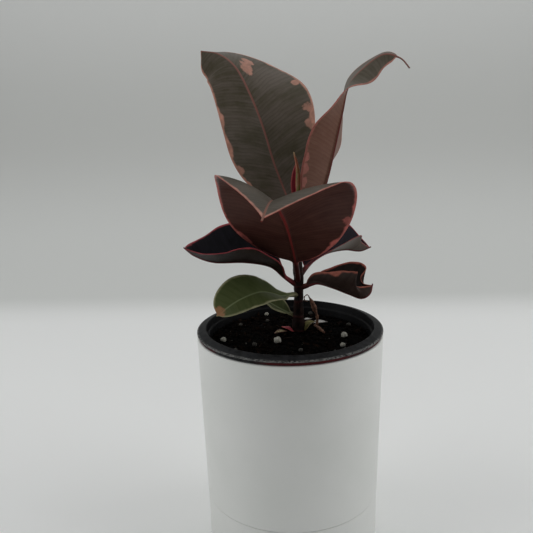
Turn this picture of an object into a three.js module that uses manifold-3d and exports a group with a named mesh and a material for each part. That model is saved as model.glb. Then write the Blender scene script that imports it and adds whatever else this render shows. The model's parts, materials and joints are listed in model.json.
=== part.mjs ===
// A young rubber plant in its nursery pot, standing in a two-piece white cover pot.
// Millimetres, +Z up. The origin is the centre of the foot that the cover pot stands on.
// Eight leaves, a rolled new leaf and its sheath grow from one stem. Leaves are thin solids
// laid along a midrib, each half folded and curled by its own angles along the blade.

import * as THREE from 'three';
import { mergeVertices } from 'three/addons/utils/BufferGeometryUtils.js';
import Module from 'manifold-3d';

const wasm = await Module();
wasm.setup();

// ---------------------------------------------------------------- driving dimensions
const GAP = 0.3;                     // clearance between pieces that touch
const TURN_SIDES = 64;               // facets round every turned piece
const CUT_OVERRUN = 2;               // how far a drill runs past both faces

const COVER_TOP = 129;               // height of the cover pot's top edge
const COVER_TOP_RADIUS = 53.5;       // outside radius at the top edge
const COVER_TAPER = 2.3;             // how much narrower the cover is at the seam
const COVER_EDGE = 0.7;              // bevel of the top edge
const COVER_WALL = 2.6;
const COVER_FLOOR = 3;
const COVER_FLOOR_HEIGHT = 9;        // underside of the cover's floor, inside the base
const SHOULDER_RISE = 4;             // inside slope from the spigot up to the full wall

const SEAM_HEIGHT = 31.5;            // top edge of the base cup
const SEAM_STEP = 0.2;               // the base stands this far inside the cover at the seam
const BASE_TAPER = 0.4;              // how much narrower the foot is than the cover's seam
const BASE_WALL = 2.6;
const BASE_FLOOR = 3;
const BASE_EDGE_ROUND = 3;
const NEST_CLEARANCE = 0.6;          // side play of the cover's spigot inside the base

const RIM_WIDTH = 5.2;               // sloping rim of the nursery pot
const LIP_RISE = 4.5;                // top of the rim above the cover's top edge
const LIP_SLOPE = 1.8;               // drop of the rim from its inner to its outer edge
const LIP_EDGE = 0.7;                // thickness of the rim's outer edge
const COLLAR_INSET = 0.7;            // the collar under the rim stands this far in
const HANG_CLEARANCE = 1;            // side play of the nursery pot inside the cover
const HANG_BAND = 2;                 // upright stretch of the pot's wall under its collar
const POT_HEIGHT = 95;
const POT_FOOT_RADIUS = 38;
const POT_WALL = 1.2;
const POT_FLOOR = 1.6;
const LEDGE_DEPTH = 4;               // stacking ledge below the mouth
const LEDGE_STEP = 0.8;
const DRAIN_COUNT = 4;
const DRAIN_RADIUS = 4;
const DRAIN_CIRCLE = 24;             // radius of the circle that the drain holes lie on

const SOIL_DEPTH_BELOW_RIM = 8.5;    // soil at the wall, below the top of the rim
const SOIL_MOUND = 1.6;              // how much higher the soil is round the stem

const STEM_X = 5;
const STEM_Y = 8;
const STEM_RADIUS = 2.8;
const STEM_FOOT_RADIUS = 3.3;        // swollen base at the soil
const STEM_TIP_RADIUS = 1.9;
const STEM_HEIGHT = 80;              // above the soil
const STEM_BURIED = 16;              // length of stem under the soil

const BLADE_THICKNESS = 0.9;
const LEAF_ROWS = 22;
const LEAF_COLUMNS = 8;
const PETIOLE_RADIUS = 1.4;
const TIP_HALF_WIDTH = 0.7;

// ---------------------------------------------------------------- derived sizes
const COVER_SEAM_RADIUS = COVER_TOP_RADIUS - COVER_TAPER;
const BASE_FOOT_RADIUS = COVER_SEAM_RADIUS - BASE_TAPER;
const LIP_RADIUS = COVER_TOP_RADIUS;             // the rim ends flush with the cover
const MOUTH_RADIUS = LIP_RADIUS - RIM_WIDTH;     // inner edge of the rim
const HANG_RADIUS = COVER_TOP_RADIUS - COVER_WALL - HANG_CLEARANCE;
const LIP_TOP = COVER_TOP + LIP_RISE;
const LIP_LOW = LIP_TOP - LIP_SLOPE;
const SOIL_EDGE = LIP_TOP - SOIL_DEPTH_BELOW_RIM;
const SOIL_CENTRE = SOIL_EDGE + SOIL_MOUND;
const POT_FOOT = LIP_TOP - POT_HEIGHT;

// ---------------------------------------------------------------- materials
function finish(colour, roughness, metalness = 0) {
  return new THREE.MeshStandardMaterial({ color: colour, roughness, metalness });
}

const whiteGlaze = finish(0xe4e6e0, 0.45);
const potPlastic = finish(0x232426, 0.55);
const soilMix = finish(0x1d1917, 0.95);
const bark = finish(0x4a2826, 0.7);
const darkLeaf = finish(0x4b4643, 0.45);
const purpleLeaf = finish(0x2b2430, 0.4);
const greenLeaf = finish(0x5d7048, 0.5);
const sheathRed = finish(0xb5344a, 0.5);
const newLeafGreen = finish(0x9aa636, 0.5);
const dryBrown = finish(0x8a5233, 0.8);
const paleScrap = finish(0xb9b48f, 0.8);
const perliteWhite = finish(0xe0dfd8, 0.9);

// ---------------------------------------------------------------- helpers
const plant = new THREE.Group();

function add(name, geometry, material) {
  const mesh = new THREE.Mesh(geometry, material);
  mesh.name = name;
  plant.add(mesh);
  return mesh;
}

// Turns a closed profile of [radius, height] pairs about the Z axis.
function turned(profile, sides = TURN_SIDES) {
  const points = profile.map(([radius, height]) => new THREE.Vector2(radius, height));
  return new THREE.LatheGeometry(points, sides).rotateX(Math.PI / 2);
}

function toSolid(geometry) {
  const bare = geometry.clone();
  bare.deleteAttribute('normal');
  bare.deleteAttribute('uv');
  const merged = mergeVertices(bare, 1e-4);
  const mesh = new wasm.Mesh({
    numProp: 3,
    vertProperties: new Float32Array(merged.attributes.position.array),
    triVerts: new Uint32Array(merged.index.array),
  });
  return new wasm.Manifold(mesh);
}

function toGeometry(solid) {
  const mesh = solid.getMesh();
  const geometry = new THREE.BufferGeometry();
  geometry.setAttribute('position', new THREE.BufferAttribute(mesh.vertProperties, 3));
  geometry.setIndex(new THREE.BufferAttribute(mesh.triVerts, 1));
  geometry.computeVertexNormals();
  return geometry;
}

function upright(radius, low, high, x, y, sides) {
  const cylinder = new THREE.CylinderGeometry(radius, radius, high - low, sides);
  return cylinder.rotateX(Math.PI / 2).translate(x, y, (low + high) / 2);
}

// Moves every vertex of a geometry to where place(x, y, z) puts it.
function reshaped(geometry, place) {
  const position = geometry.attributes.position;
  for (let i = 0; i < position.count; i += 1) {
    const spot = place(position.getX(i), position.getY(i), position.getZ(i));
    position.setXYZ(i, spot.x, spot.y, spot.z);
  }
  geometry.computeVertexNormals();
  return geometry;
}

// A smooth value at share s (0 to 1) along evenly spaced values.
function along(values, s) {
  const last = values.length - 1;
  if (last === 0) return values[0];
  const x = Math.min(Math.max(s, 0), 1) * last;
  const i = Math.min(Math.floor(x), last - 1);
  const f = x - i;
  const p1 = values[i];
  const p2 = values[i + 1];
  const p0 = i > 0 ? values[i - 1] : 2 * p1 - p2;
  const p3 = i + 2 <= last ? values[i + 2] : 2 * p2 - p1;
  const bend = (2 * p0 - 5 * p1 + 4 * p2 - p3) * f + (3 * p1 - p0 - 3 * p2 + p3) * f * f;
  return 0.5 * (2 * p1 + (p2 - p0) * f + bend * f);
}

function curveThrough(points) {
  const corners = points.map((p) => new THREE.Vector3(...p));
  return new THREE.CatmullRomCurve3(corners, false, 'catmullrom', 0.5);
}

// ---------------------------------------------------------------- leaves
const DIRECTION_WINDOW = 0.09;       // share of the midrib that sets a leaf's direction
const COLUMN_SPREAD = 1.3;           // above 1, columns crowd towards the midrib

// Points, directions and upper-side normals in even steps along a midrib.
function midribFrames(curve, facing, steps) {
  const frames = [];
  let normal = new THREE.Vector3(...facing);
  for (let i = 0; i <= steps; i += 1) {
    const u = i / steps;
    const ahead = curve.getPointAt(Math.min(u + DIRECTION_WINDOW, 1));
    const behind = curve.getPointAt(Math.max(u - DIRECTION_WINDOW, 0));
    const direction = ahead.sub(behind).normalize();
    normal = normal.clone().addScaledVector(direction, -normal.dot(direction)).normalize();
    frames.push({ point: curve.getPointAt(u), direction, normal });
  }
  return frames;
}

// Half-width of a blade, as a share of its widest, at share s of its length.
function bladeShape(leaf, s) {
  if (s <= 0 || s >= 1) return 0;
  const skew = Math.log(0.5) / Math.log(leaf.peak);
  const power = leaf.baseShape + (leaf.tipShape - leaf.baseShape) * s;
  return Math.sin(Math.PI * s ** skew) ** power;
}

const radians = THREE.MathUtils.degToRad;

// The point of a leaf's middle surface at row i and side share v (-1 left to 1 right).
function leafPoint(leaf, frame, s, v) {
  const side = v > 0 ? leaf.right : leaf.left;
  const least = s < 0.5 ? leaf.stalk : leaf.tipWidth;
  const half = Math.max(leaf.halfWidth * bladeShape(leaf, s) * along(side.wide, s), least);
  const fold = radians(along(side.fold, s));
  const curl = radians(along(side.curl, s)) * Math.abs(v) / 2;
  const chord = Math.abs(v) * half * (Math.abs(curl) < 1e-6 ? 1 : Math.sin(curl) / curl);
  const across = new THREE.Vector3().crossVectors(frame.direction, frame.normal);
  const roll = radians(along(leaf.roll, s));
  const up = frame.normal.clone().multiplyScalar(Math.cos(roll));
  up.addScaledVector(across, Math.sin(roll));
  across.multiplyScalar(Math.cos(roll)).addScaledVector(frame.normal, -Math.sin(roll));
  return frame.point.clone()
    .addScaledVector(across, Math.sign(v) * chord * Math.cos(fold + curl))
    .addScaledVector(up, chord * Math.sin(fold + curl));
}

// A leaf is a flat box of rows and columns laid on its middle surface.
function leafSolid(leaf) {
  const rows = leaf.rows ?? LEAF_ROWS;
  const columns = leaf.columns ?? LEAF_COLUMNS;
  const curve = curveThrough(leaf.midrib);
  const length = curve.getLength();
  const frames = midribFrames(curve, leaf.facing, rows);
  const bladeStart = leaf.petiole / length;
  const bladeEnd = 1 - leaf.dripTip / length;
  const grid = frames.map((frame, i) => {
    const s = (i / rows - bladeStart) / (bladeEnd - bladeStart);
    return Array.from({ length: columns + 1 }, (_, j) => {
      const u = 2 * j / columns - 1;
      return leafPoint(leaf, frame, s, Math.sign(u) * Math.abs(u) ** COLUMN_SPREAD);
    });
  });
  const rib = (i, point) => {
    const thick = THREE.MathUtils.lerp(leaf.stalk, BLADE_THICKNESS / 2, i / rows);
    const off = Math.min(point.distanceTo(frames[i].point) / leaf.stalk, 1);
    const extra = Math.max(thick - BLADE_THICKNESS / 2, 0) * Math.sqrt(1 - off * off);
    return BLADE_THICKNESS / 2 + extra;
  };
  const box = new THREE.BoxGeometry(2, 2, 2, columns, rows, 1);
  return reshaped(box, (x, y, z) => {
    const i = Math.round((y + 1) / 2 * rows);
    const j = Math.round((x + 1) / 2 * columns);
    const down = grid[Math.min(i + 1, rows)][j].clone().sub(grid[Math.max(i - 1, 0)][j]);
    const over = grid[i][Math.min(j + 1, columns)].clone().sub(grid[i][Math.max(j - 1, 0)]);
    const normal = over.cross(down).normalize();
    return grid[i][j].clone().addScaledVector(normal, z * rib(i, grid[i][j]));
  });
}

function side(fold, curl = [0], wide = [1]) {
  return { fold, curl, wide };
}

// ---------------------------------------------------------------- rods and grains
// A rod follows a curve; its radii are spread evenly from one end to the other.
function rodSolid(points, radii, sides = 10, segments = 14) {
  const curve = curveThrough(points);
  const frames = midribFrames(curve, [0.2, -1, 0.1], segments);
  const rod = new THREE.CylinderGeometry(1, 1, 2, sides, segments);
  return reshaped(rod, (x, y, z) => {
    const i = Math.round((y + 1) / 2 * segments);
    const { point, direction, normal } = frames[i];
    const across = new THREE.Vector3().crossVectors(normal, direction);
    const radius = along(radii, i / segments);
    return point.clone()
      .addScaledVector(normal, x * radius)
      .addScaledVector(across, z * radius);
  });
}

function soilHeight(x, y) {
  const share = Math.min(Math.hypot(x, y) / MOUTH_RADIUS, 1);
  return SOIL_EDGE + SOIL_MOUND * (1 + Math.cos(Math.PI * share)) / 2;
}

// ---------------------------------------------------------------- cover pot and base
function taperRadius(height) {
  const share = (height - SEAM_HEIGHT) / (COVER_TOP - SEAM_HEIGHT);
  return THREE.MathUtils.lerp(COVER_SEAM_RADIUS, COVER_TOP_RADIUS, share);
}

function basePot() {
  const top = SEAM_HEIGHT - GAP;
  const outer = COVER_SEAM_RADIUS - SEAM_STEP;
  const arc = [0, 0.25, 0.5, 0.75, 1].map((share) => {
    const angle = share * Math.PI / 2;
    const centre = BASE_FOOT_RADIUS - BASE_EDGE_ROUND;
    return [
      centre + BASE_EDGE_ROUND * Math.sin(angle),
      BASE_EDGE_ROUND * (1 - Math.cos(angle)),
    ];
  });
  return turned([
    [0, 0],
    ...arc,
    [outer, top],
    [outer - BASE_WALL, top],
    [BASE_FOOT_RADIUS - BASE_WALL, BASE_FLOOR],
    [0, BASE_FLOOR],
  ]);
}

function coverPot() {
  const spigot = BASE_FOOT_RADIUS - BASE_WALL - NEST_CLEARANCE;
  const floorTop = COVER_FLOOR_HEIGHT + COVER_FLOOR;
  const shoulder = SEAM_HEIGHT + SHOULDER_RISE;
  return turned([
    [0, COVER_FLOOR_HEIGHT],
    [spigot, COVER_FLOOR_HEIGHT],
    [spigot, SEAM_HEIGHT],
    [COVER_SEAM_RADIUS, SEAM_HEIGHT],
    [COVER_TOP_RADIUS, COVER_TOP - COVER_EDGE],
    [COVER_TOP_RADIUS - COVER_EDGE, COVER_TOP],
    [COVER_TOP_RADIUS - COVER_WALL, COVER_TOP],
    [taperRadius(shoulder) - COVER_WALL, shoulder],
    [spigot - COVER_WALL, SEAM_HEIGHT],
    [spigot - COVER_WALL, floorTop],
    [0, floorTop],
  ]);
}

// ---------------------------------------------------------------- nursery pot and soil
const LEDGE_TOP = LIP_TOP - LEDGE_DEPTH;
const LEDGE_RADIUS = MOUTH_RADIUS - LEDGE_STEP;

// Inside radius of the nursery pot below its ledge.
function potInside(height) {
  const floor = POT_FOOT + POT_FLOOR;
  const share = (height - floor) / (LEDGE_TOP - LEDGE_STEP - floor);
  return THREE.MathUtils.lerp(POT_FOOT_RADIUS - POT_WALL, LEDGE_RADIUS - LEDGE_STEP, share);
}

function nurseryPot() {
  const collar = LIP_RADIUS - COLLAR_INSET;
  const seat = COVER_TOP + GAP;
  const shell = turned([
    [0, POT_FOOT],
    [POT_FOOT_RADIUS, POT_FOOT],
    [HANG_RADIUS, seat - HANG_BAND],
    [HANG_RADIUS, seat],
    [collar, seat],
    [collar, LIP_LOW - LIP_EDGE],
    [LIP_RADIUS, LIP_LOW - LIP_EDGE],
    [LIP_RADIUS, LIP_LOW],
    [MOUTH_RADIUS, LIP_TOP],
    [LEDGE_RADIUS, LEDGE_TOP],
    [LEDGE_RADIUS - LEDGE_STEP, LEDGE_TOP - LEDGE_STEP],
    [POT_FOOT_RADIUS - POT_WALL, POT_FOOT + POT_FLOOR],
    [0, POT_FOOT + POT_FLOOR],
  ]);
  const low = POT_FOOT - CUT_OVERRUN;
  const high = POT_FOOT + POT_FLOOR + CUT_OVERRUN;
  let pot = toSolid(shell);
  for (let i = 0; i < DRAIN_COUNT; i += 1) {
    const angle = (i + 0.5) * 2 * Math.PI / DRAIN_COUNT;
    const x = DRAIN_CIRCLE * Math.cos(angle);
    const y = DRAIN_CIRCLE * Math.sin(angle);
    const hole = upright(DRAIN_RADIUS, low, high, x, y, 16);
    pot = pot.subtract(toSolid(hole));
  }
  return toGeometry(pot);
}

function soil() {
  const low = POT_FOOT + POT_FLOOR + GAP;
  const rings = [0.8, 0.6, 0.4, 0.2].map((share) => {
    const radius = share * potInside(SOIL_EDGE);
    return [radius, soilHeight(radius, 0)];
  });
  const body = turned([
    [0, low],
    [potInside(low) - GAP, low],
    [potInside(SOIL_EDGE) - GAP, SOIL_EDGE],
    ...rings,
    [0, SOIL_CENTRE],
  ]);
  const bottom = SOIL_CENTRE - STEM_BURIED - GAP;
  const pocket = upright(STEM_FOOT_RADIUS + 2 * GAP, bottom, LIP_TOP, STEM_X, STEM_Y, 20);
  return toGeometry(toSolid(body).subtract(toSolid(pocket)));
}

// ---------------------------------------------------------------- stem
// Centre line of the stem: [sideways, height above the soil]; it leans only along X.
const STEM_LINE = [[0, -STEM_BURIED], [0, 0], [0.3, 14], [0.6, 30], [-0.4, 46], [-0.4, 62],
  [1.2, STEM_HEIGHT]];
const STEM_RADII = [STEM_FOOT_RADIUS, STEM_FOOT_RADIUS, STEM_RADIUS, STEM_RADIUS, STEM_RADIUS,
  STEM_RADIUS, STEM_TIP_RADIUS];
const STEM_SEGMENTS = 18;

function fromStemFoot([x, y, z]) {
  return [STEM_X + x, STEM_Y + y, SOIL_CENTRE + z];
}

const stemCurve = curveThrough(STEM_LINE.map(([x, z]) => fromStemFoot([x, 0, z])));

// Centre and radius of the stem at a height above the soil.
function stemAt(height) {
  const share = (height + STEM_BURIED) / (STEM_HEIGHT + STEM_BURIED);
  return { centre: stemCurve.getPointAt(share), radius: along(STEM_RADII, share) };
}

// A midrib that starts on the stem's skin, GAP clear of it, and goes on through its points.
function grownFrom(height, points, stalk) {
  const { centre, radius } = stemAt(height);
  const rest = points.map(fromStemFoot);
  const outward = new THREE.Vector3(...rest[0]).sub(centre).setZ(0).normalize();
  const skin = centre.clone().addScaledVector(outward, radius);
  const near = curveThrough([skin.toArray(), ...rest]).getPointAt(DIRECTION_WINDOW);
  const climb = Math.abs(near.sub(skin).normalize().z);
  const start = skin.addScaledVector(outward, GAP + (stalk + BLADE_THICKNESS / 2) * climb);
  return [start.toArray(), ...rest];
}

// ---------------------------------------------------------------- the plant's leaves
// A leaf leaves the stem at a height above the soil. The points of its midrib are measured
// from the middle of the stem at the soil.
const leaves = {
  leaf_tall_left: {
    height: 61,
    midrib: [[-2.5, 8, 70], [-7, 12, 82], [-13, 17, 98], [-19, 23, 118], [-26, 29, 136],
      [-34.5, 35, 152], [-44.5, 39, 160], [-55, 38, 162]],
    facing: [0.1, -1, 0.6],
    petiole: 13,
    dripTip: 1,
    halfWidth: 29,
    peak: 0.56,
    baseShape: 0.6,
    tipShape: 0.33,
    roll: [0],
    left: side([20, 16, 12, 8, 6], [0, 0, 0, -10, -20], [1.4, 1.1, 0.84, 0.76, 1]),
    right: side([14, 14, 5, -29, -66], [10, 10, 10, 0, 0], [1.1, 1.1, 1.13, 1.08, 0.9]),
    material: darkLeaf,
  },
  leaf_tall_right: {
    height: 63,
    midrib: [[7.5, -6, 71], [14.5, -10, 85.5], [20, -14, 107.5], [24, -16, 126],
      [27, -18, 139], [34, -22, 147.5], [43.5, -27, 154], [51.5, -30, 152], [56, -32, 147]],
    facing: [-0.9, 0.42, 0.2],
    petiole: 12,
    dripTip: 9,
    halfWidth: 22,
    peak: 0.46,
    baseShape: 0.5,
    tipShape: 0.5,
    roll: [0, 0, 0, 0, 20, 55, 60],
    left: side([30, 24, 8, 12, 0, -40, -60], [0], [1, 1, 1, 1, 0.9, 0.6, 0.8]),
    right: side([20, 20, 20, 20, 10, 0, 0], [10], [1.1, 1.1, 1, 0.82, 0.5, 0.8, 1]),
    material: darkLeaf,
  },
  leaf_front: {
    height: 31,
    midrib: [[-0.5, -7.5, 39.5], [-1.5, -13, 48.5], [-3.5, -24, 60], [-6, -38, 71.5],
      [-9, -53, 80.5], [-11.5, -68, 87.5], [-13.5, -88, 89], [-16, -105, 85]],
    facing: [0, 0, 1],
    petiole: 17,
    dripTip: 3,
    halfWidth: 40,
    peak: 0.5,
    baseShape: 0.5,
    tipShape: 1,
    roll: [0],
    left: side([-8, -3, 26, 23, 6], [0, 0, -20, -20, -10], [0.85, 0.87, 0.97, 0.9, 0.7]),
    right: side([0, 4, 38, 40, 30], [0, 0, -30, -30, -20], [0.9, 0.93, 0.92, 0.85, 0.5]),
    material: darkLeaf,
  },
  leaf_low_left: {
    height: 28,
    midrib: [[-7.5, -2.5, 34], [-15.5, -6, 41.5], [-29.5, -10, 45], [-46, -16, 46.5],
      [-56, -22, 51.5], [-61, -28, 57.5]],
    facing: [0, 0, 1],
    petiole: 4,
    dripTip: 1,
    halfWidth: 25,
    peak: 0.5,
    baseShape: 1.7,
    tipShape: 0.8,
    roll: [0, -9, -9, -9, -9],
    left: side([26, 32, 40, 38, 27], [0], [0.8, 0.9, 1, 1, 1]),
    right: side([38, 38, 40, 38, 20]),
    material: purpleLeaf,
  },
  leaf_back_right: {
    height: 33,
    midrib: [[5.5, 6, 37.5], [10.5, 9, 41.5], [18.5, 13, 44.5], [29, 17, 45], [38, 19, 43.5],
      [44.5, 18, 46]],
    facing: [0, 0, 1],
    petiole: 7,
    dripTip: 1,
    halfWidth: 21,
    peak: 0.6,
    baseShape: 0.5,
    tipShape: 0.8,
    roll: [0],
    left: side([30]),
    right: side([25, 30, 42, 58, 62], [0], [0.5, 0.5, 0.6, 0.85, 1]),
    material: purpleLeaf,
  },
  leaf_curled_right: {
    height: 26.5,
    midrib: [[6.5, -2, 28.5], [11.5, -4, 30.5], [20, -7, 28.5], [28.5, -10, 25.5],
      [35.5, -13, 23.5], [40, -15, 26.5], [41.5, -16, 32.5]],
    facing: [0, 0, 1],
    petiole: 4.3,
    dripTip: 1,
    halfWidth: 19,
    peak: 0.58,
    baseShape: 0.3,
    tipShape: 0.8,
    roll: [0],
    left: side([40], [30], [0.1, 0.75, 1.05, 0.95, 0.9]),
    right: side([75, 45, 35, 35, 35], [60], [0.5, 0.6, 0.95, 1.05, 1]),
    material: purpleLeaf,
  },
  leaf_green: {
    height: 22.5,
    midrib: [[-4.5, -6, 24], [-9.5, -13, 25.5], [-14.5, -18, 28.5], [-20.5, -24, 31],
      [-27, -31, 31], [-34.5, -38, 29], [-43, -45, 24.5]],
    facing: [0, -0.4, 1],
    petiole: 4,
    dripTip: 1,
    halfWidth: 16.5,
    peak: 0.6,
    baseShape: 1,
    tipShape: 0.45,
    roll: [-12, -20],
    left: side([10], [0], [0.8, 0.62, 0.6]),
    right: side([10], [0], [0.9, 0.78, 0.85, 0.95]),
    material: greenLeaf,
  },
  leaf_green_small: {
    height: 9,
    midrib: [[-8, 0, 12.5], [-13, 1, 15], [-17.5, 2, 17.5], [-21.5, 1, 19]],
    facing: [0, -0.4, 1],
    petiole: 3,
    dripTip: 1,
    halfWidth: 8,
    peak: 0.55,
    baseShape: 0.7,
    tipShape: 0.6,
    roll: [-10],
    left: side([10], [0], [0.45]),
    right: side([10], [0], [0.85]),
    rows: 14,
    columns: 6,
    material: greenLeaf,
  },
};

function plainLeaf(midrib, facing, halfWidth, fold) {
  return {
    midrib,
    facing,
    petiole: 0.5,
    dripTip: 0.5,
    halfWidth,
    peak: 0.45,
    baseShape: 0.5,
    tipShape: 0.9,
    roll: [0],
    left: side([fold]),
    right: side([fold]),
    stalk: 0.6,
    tipWidth: 0.5,
    rows: 10,
    columns: 4,
  };
}

// ---------------------------------------------------------------- growing tip
const SHEATH_DROP = 5;               // the sheath's foot is this far below the stem's tip
const stemTip = stemAt(STEM_HEIGHT).centre.toArray();

function fromStemTip([x, y, z]) {
  return [stemTip[0] + x, stemTip[1] + y, stemTip[2] + z];
}

function newLeaf() {
  const points = [[0, 0, GAP], [0.2, 0, 6], [0, 0, 12], [-1, 0, 18.5], [-2.4, 0, 24.5]];
  return rodSolid(points.map(fromStemTip), [1.2, 1.4, 1.2, 0.8, 0.4], 8, 10);
}

// A scale that stands behind the stem's tip and wraps both sides of the new leaf.
function budSheath() {
  const reach = stemAt(STEM_HEIGHT - SHEATH_DROP).radius + GAP + BLADE_THICKNESS;
  const points = [[-0.4, reach, -SHEATH_DROP], [0, reach, 2], [0, reach, 9], [-0.6, reach, 18]];
  return leafSolid(plainLeaf(points.map(fromStemTip), [0, -1, 0], 3, 30));
}

// ---------------------------------------------------------------- litter on the soil
// A spot on the soil, measured from the pot's centre line, at a height above the surface.
function onSoil([x, y, above]) {
  return [x, y, soilHeight(x, y) + above];
}

const LITTER_SEAT = GAP + BLADE_THICKNESS / 2;

function fallenScale(points, halfWidth, fold) {
  const line = points.map(([x, y, above]) => onSoil([x, y, above + LITTER_SEAT]));
  return leafSolid(plainLeaf(line, [0, 0, 1], halfWidth, fold));
}

const fallenScales = {
  scale_pale: [[[-9, 1.5, 0.4], [-5, 2.5, 0.8], [-1.5, 4, 0.6]], 2.4, 18, paleScrap],
  scale_silver: [[[14, 21.5, 0], [18, 22.6, 0.4], [23, 23.5, 0.3]], 2.3, 4, perliteWhite],
  scale_silver_small: [[[8.5, 29, 0], [11, 30, 0.4], [14, 30.8, 0.2]], 1.6, 6, perliteWhite],
  shoot_green: [[[10.5, 11, 0], [12.4, 11.4, 2.2], [15.5, 12, 4.6]], 2.3, 30, newLeafGreen],
  scale_red: [[[-2.5, 11, 0], [-3.6, 10.6, 2.4], [-4, 10, 5]], 1.8, 25, sheathRed],
};

function dryStipule() {
  const points = [[16.5, 19, 1.2], [16.6, 18.6, 6], [14.8, 18, 12], [12.6, 17.4, 17],
    [10.6, 17, 19.4], [9.2, 16.8, 17.8], [10.4, 16.6, 16.2]];
  return rodSolid(points.map(onSoil), [0.8, 1, 1.1, 0.9, 0.6, 0.5, 0.4], 6, 18);
}

function twig() {
  const points = [[15, 15.5, 1.3], [17.2, 9, 1.5], [20, 2, 1.3]];
  return rodSolid(points.map(onSoil), [0.7, 0.9, 0.6], 6, 8);
}

// Perlite: [degrees round the pot, share of the mouth's radius, radius, squash] of each grain.
const PERLITE = [
  [-170, 0.8, 1.8, 0.8], [-119, 0.3, 2.2, 0.85], [-5, 0.65, 1.9, 0.9], [-30, 0.7, 1.5, 0.8],
  [110, 0.89, 1.4, 0.8], [72, 0.89, 1.3, 0.9], [146, 0.75, 1.3, 0.7], [-141, 0.53, 1.4, 0.9],
  [-77, 0.53, 1.2, 0.8], [27, 0.83, 1.5, 0.7], [-143, 0.78, 1.2, 0.9], [117, 0.63, 1.1, 0.8],
  [-55, 0.79, 1.3, 0.8], [-99, 0.76, 1.5, 0.8],
];
const PERLITE_DEPTH = 0.9;           // front-to-back size of a grain against its width

function perliteGrain([turn, share, radius, squash]) {
  const x = share * MOUTH_RADIUS * Math.cos(radians(turn));
  const y = share * MOUTH_RADIUS * Math.sin(radians(turn));
  const geometry = toGeometry(toSolid(new THREE.IcosahedronGeometry(radius, 1)));
  geometry.scale(1, PERLITE_DEPTH, squash);
  return geometry.translate(...onSoil([x, y, radius * squash + GAP]));
}

// ---------------------------------------------------------------- assembly
add('pot_base', basePot(), whiteGlaze);
add('cover_pot', coverPot(), whiteGlaze);
add('nursery_pot', nurseryPot(), potPlastic);
add('soil', soil(), soilMix);

const stemPoints = STEM_LINE.map(([x, z]) => fromStemFoot([x, 0, z]));
add('stem', rodSolid(stemPoints, STEM_RADII, 12, STEM_SEGMENTS), bark);

for (const [name, leaf] of Object.entries(leaves)) {
  const midrib = grownFrom(leaf.height, leaf.midrib, PETIOLE_RADIUS);
  const stalked = { stalk: PETIOLE_RADIUS, tipWidth: TIP_HALF_WIDTH, ...leaf, midrib };
  add(name, leafSolid(stalked), leaf.material);
}

add('new_leaf', newLeaf(), newLeafGreen);
add('bud_sheath', budSheath(), sheathRed);

for (const [name, [points, halfWidth, fold, material]] of Object.entries(fallenScales)) {
  add(name, fallenScale(points, halfWidth, fold), material);
}

add('dry_stipule', dryStipule(), dryBrown);
add('twig', twig(), dryBrown);
PERLITE.forEach((grain, i) => add(`perlite_${i + 1}`, perliteGrain(grain), perliteWhite));

export default plant;
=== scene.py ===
"""A young rubber plant in a black nursery pot that hangs in a two-piece white cover pot."""

import json
import math
import random
from dataclasses import dataclass

import bmesh
import bpy
from mathutils import Matrix, Vector, noise


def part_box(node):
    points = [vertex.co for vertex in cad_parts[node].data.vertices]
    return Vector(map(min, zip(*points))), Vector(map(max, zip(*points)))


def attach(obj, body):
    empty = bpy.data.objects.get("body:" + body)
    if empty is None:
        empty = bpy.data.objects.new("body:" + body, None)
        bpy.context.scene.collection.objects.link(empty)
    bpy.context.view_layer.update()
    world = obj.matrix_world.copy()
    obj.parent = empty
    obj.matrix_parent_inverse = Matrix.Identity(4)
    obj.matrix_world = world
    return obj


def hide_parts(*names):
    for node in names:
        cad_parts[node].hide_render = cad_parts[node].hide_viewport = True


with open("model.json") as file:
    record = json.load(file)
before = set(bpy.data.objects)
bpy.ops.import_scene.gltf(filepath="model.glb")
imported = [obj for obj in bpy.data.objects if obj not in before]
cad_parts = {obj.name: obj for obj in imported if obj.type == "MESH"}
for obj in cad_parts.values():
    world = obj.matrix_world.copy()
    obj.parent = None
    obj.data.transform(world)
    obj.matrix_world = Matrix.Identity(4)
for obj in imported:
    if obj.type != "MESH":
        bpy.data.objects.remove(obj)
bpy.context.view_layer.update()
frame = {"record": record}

MM = 0.001
BODY = "root"

# ------------------------------------------------------------ sizes read from the frame
pot_low, pot_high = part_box("nursery_pot")
cover_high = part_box("cover_pot")[1]
base_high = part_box("pot_base")[1]
soil_low, soil_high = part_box("soil")
stem_low, stem_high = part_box("stem")
sheath_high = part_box("bud_sheath")[1]

LIP_RADIUS = pot_high.x
LIP_TOP = pot_high.z
POT_FOOT = pot_low.z
COVER_TOP = cover_high.z
COVER_RADIUS = LIP_RADIUS
SEAM_HEIGHT = base_high.z
SOIL_RADIUS = soil_high.x
SOIL_CENTRE = soil_high.z
STEM_X = (stem_low.x + stem_high.x) / 2
STEM_Y = (stem_low.y + stem_high.y) / 2
STEM_HEIGHT = stem_high.z - SOIL_CENTRE

RIM_WIDTH = 5.2 * MM
MOUTH_RADIUS = LIP_RADIUS - RIM_WIDTH
SOIL_MOUND = 1.6 * MM
SOIL_EDGE = SOIL_CENTRE - SOIL_MOUND

# The nursery pot's foot, in millimetres.
POT_FOOT_RADIUS = 38
POT_WALL = 1.2
POT_FOOT_INSIDE = POT_FOOT_RADIUS - POT_WALL

SLOTS = {entry["node"]: entry["material_slot"] for entry in frame["record"]["subparts"]}


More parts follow.
